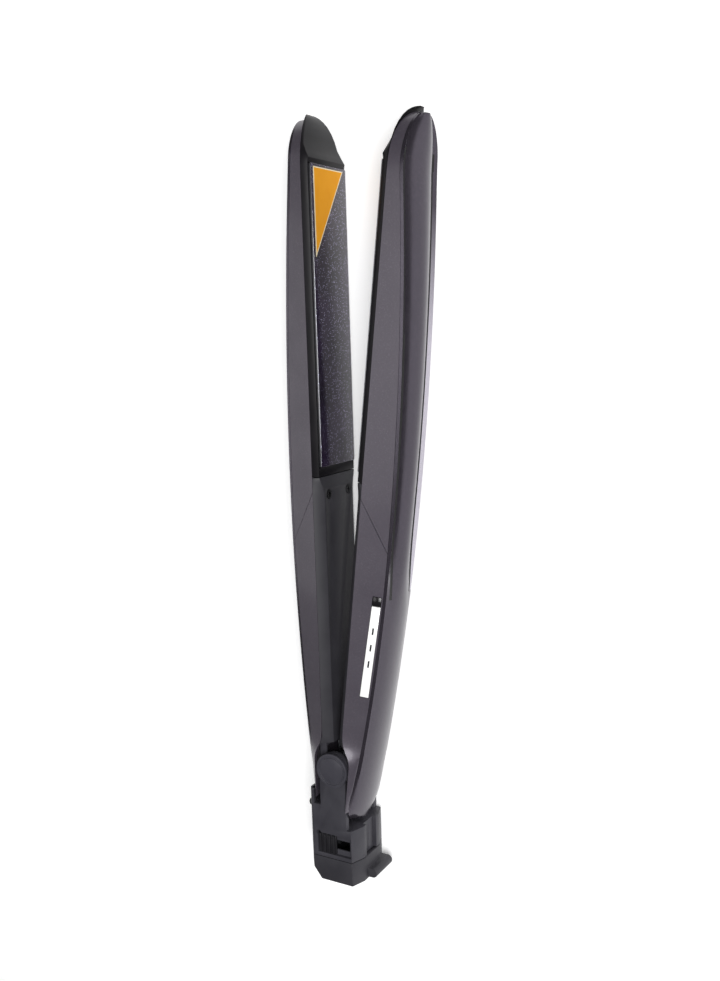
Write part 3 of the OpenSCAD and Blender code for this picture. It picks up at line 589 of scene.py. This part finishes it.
class IRON_OT_base(bpy.types.Operator):
    """Make the base halves, end cap, lock slider, swivel and stud"""
    bl_idname = "iron.base"
    bl_label = "Base and lock"

    def execute(self, context):
        look = context.scene.iron_base
        plastic = moulded_plastic("Spark Textured ABS", look.plastic, "#424147",
                                  rough=0.46, grain_mm=0.3, depth=0.3, ior=1.33)
        darker = moulded_plastic("Spark Textured Nylon", "#302f34", "#39383d",
                                 rough=0.48, grain_mm=0.3, depth=0.3, ior=1.33)
        black = moulded_plastic("Satin Black Slider ABS", "#17161a", "#222125",
                                rough=0.42, grain_mm=0.3, depth=0.2, ior=1.4)
        rubber = plain_finish("Soft PVC", "#18181a", "#232325", rough=0.55, grain_mm=1.5)
        polished = turned_metal("Polished Ring Steel", "#85888c", "#a9acb0", rough=0.2, stretch=(1, 1, 1))
        stamped = turned_metal("Stamped Lock Steel", "#5f6267", "#7c7f84", rough=0.42, stretch=(1, 6, 1))
        for half in ("near", "far"):
            node = f"base_shell_{half}"
            bevelled(node, f"{node}_skin", look.break_edge, plastic, "fixed_arm")
        bevelled("end_cap", "end_cap_skin", look.break_edge, darker, "fixed_arm")
        bevelled("lock_slider", "lock_slider_skin", 0.12, black, "lock")
        bevelled("cord_swivel", "cord_swivel_skin", 0.2, rubber, "swivel")
        dress(["swivel_ring"], polished)
        dress(["lock_bolt"], stamped)
        dress(["back_stud"], rubber)
        return {"FINISHED"}


class IRON_OT_display(bpy.types.Operator):
    """Make the light bar, its marks, the button and the board behind them"""
    bl_idname = "iron.display"
    bl_label = "Light bar and button"

    def execute(self, context):
        bar = plain_finish("Clear Polished Polycarbonate", "#e8e8e6", "#f7f7f5",
                           rough=0.15, grain_mm=5, coat=0.5, glow=0.25)
        ink = plain_finish("Printed Marks", "#1f1f23", "#2b2b30", rough=0.5, grain_mm=1)
        board = plain_finish("Solder Mask", "#245a38", "#2f6b45", rough=0.35, grain_mm=3)
        black = moulded_plastic("Glossy Button ABS", "#141215", "#1f1c20",
                                rough=0.22, grain_mm=0.4, depth=0.04)
        bevelled("display_window", "display_window_skin", 0.15, bar, "moving_arm")
        bevelled("power_button", "power_button_skin", 0.25, black, "button")
        dress(["display_marks"], ink)
        dress(["control_board"], board)
        return {"FINISHED"}


class IRON_OT_stage(bpy.types.Operator):
    """Make the floor, the studio lights and the camera"""
    bl_idname = "iron.stage"
    bl_label = "Stage"

    def execute(self, context):
        look = context.scene.iron_stage
        bpy.ops.object.select_all(action="DESELECT")
        bpy.ops.mesh.primitive_plane_add(size=8, location=(0, 0, 0))
        floor = context.object
        floor.name = "studio_floor"
        material, tree, place, out = new_material("Matte Paper Floor")
        grain = add(tree, "ShaderNodeTexNoise", {"Scale": 40.0, "Detail": 2.0}, {"Vector": place})
        tint = add(tree, "ShaderNodeValToRGB", {"stops": [(0.2, "#fdfdfd"), (0.9, look.floor)]},
                   {"Fac": grain.outputs["Fac"]})
        paper = {"Roughness": 0.9, "Emission Strength": 0.3, "Emission Color": (1, 1, 1, 1)}
        shader = add(tree, "ShaderNodeBsdfPrincipled", paper, {"Base Color": tint.outputs["Color"]})
        tree.links.new(shader.outputs[0], out.inputs[0])
        floor.data.materials.append(material)

        world = bpy.data.worlds.new("Studio")
        context.scene.world = world
        context.scene.view_settings.view_transform = "Standard"
        world.use_nodes = True
        world.node_tree.nodes["Background"].inputs[0].default_value = (1, 1, 1, 1)
        world.node_tree.nodes["Background"].inputs[1].default_value = WORLD_LIGHT

        # (name, place, width, height, watts)
        softboxes = (
            ("overhead_softbox", (0.15, -0.50, 0.75), 0.6, 0.4, 8.0),
            ("top_softbox", (0.10, 0.08, 0.95), 0.5, 0.3, 1.0),
            ("fill_softbox", (0.15, 0.8, 0.45), 0.8, 0.3, 1.3),
        )
        for name, spot, width, height, watts in softboxes:
            light = bpy.data.lights.new(name, "AREA")
            light.shape = "RECTANGLE"
            light.size, light.size_y = width, height
            light.energy = watts
            holder = bpy.data.objects.new(name, light)
            context.scene.collection.objects.link(holder)
            holder.location = spot
            facing = (Vector(LIGHT_AIM) - Vector(spot)).to_track_quat("-Z", "Y")
            holder.rotation_euler = facing.to_euler()

        yaw, pitch, roll = (math.radians(angle) for angle in CAMERA_ANGLES)
        back = Vector((math.sin(pitch), -math.sin(yaw) * math.cos(pitch), math.cos(yaw) * math.cos(pitch)))
        up = Vector((1, 0, 0))
        up = (up - back * up.dot(back)).normalized()
        right = up.cross(back)
        top = math.cos(roll) * up + math.sin(roll) * right
        side = math.cos(roll) * right - math.sin(roll) * up
        target = Vector(CAMERA_TARGET) * MM
        camera = bpy.data.cameras.new("studio_camera")
        camera.lens = look.lens
        camera.sensor_width = 36
        camera.sensor_fit = "AUTO"
        camera.clip_start = 0.01
        holder = bpy.data.objects.new("studio_camera", camera)
        context.scene.collection.objects.link(holder)
        turn = Matrix((side, top, back)).transposed().to_4x4()
        holder.matrix_world = Matrix.Translation(target + back * CAMERA_DISTANCE * MM) @ turn
        context.scene.camera = holder
        return {"FINISHED"}


class IRON_PT_panel(bpy.types.Panel):
    bl_idname = "IRON_PT_panel"
    bl_label = "Flat Iron"
    bl_space_type = "VIEW_3D"
    bl_region_type = "UI"
    bl_category = "Flat Iron"

    def draw(self, context):
        for group in ("iron_shells", "iron_plates", "iron_base", "iron_stage"):
            look = getattr(context.scene, group)
            box = self.layout.box()
            for name in look.__annotations__:
                box.prop(look, name)
        for name in STEPS:
            self.layout.operator(f"iron.{name}")


STEPS = ("stage", "shells", "trims", "plates", "label", "hinge", "base", "display")
GROUPS = {"iron_shells": ShellLook, "iron_plates": PlateLook, "iron_base": BaseLook,
          "iron_stage": StageLook}
CLASSES = (ShellLook, PlateLook, BaseLook, StageLook, IRON_OT_shells, IRON_OT_trims, IRON_OT_plates,
           IRON_OT_label, IRON_OT_hinge, IRON_OT_base, IRON_OT_display, IRON_OT_stage, IRON_PT_panel)


def register():
    for item in CLASSES:
        bpy.utils.register_class(item)
    for name, group in GROUPS.items():
        setattr(bpy.types.Scene, name, bpy.props.PointerProperty(type=group))


def unregister():
    for name in GROUPS:
        delattr(bpy.types.Scene, name)
    for item in reversed(CLASSES):
        bpy.utils.unregister_class(item)


def main():
    """Makes every piece and the stage."""
    register()
    for name in STEPS:
        getattr(bpy.ops.iron, name)()
    bpy.context.view_layer.update()


if __name__ == "__main__":
    main()
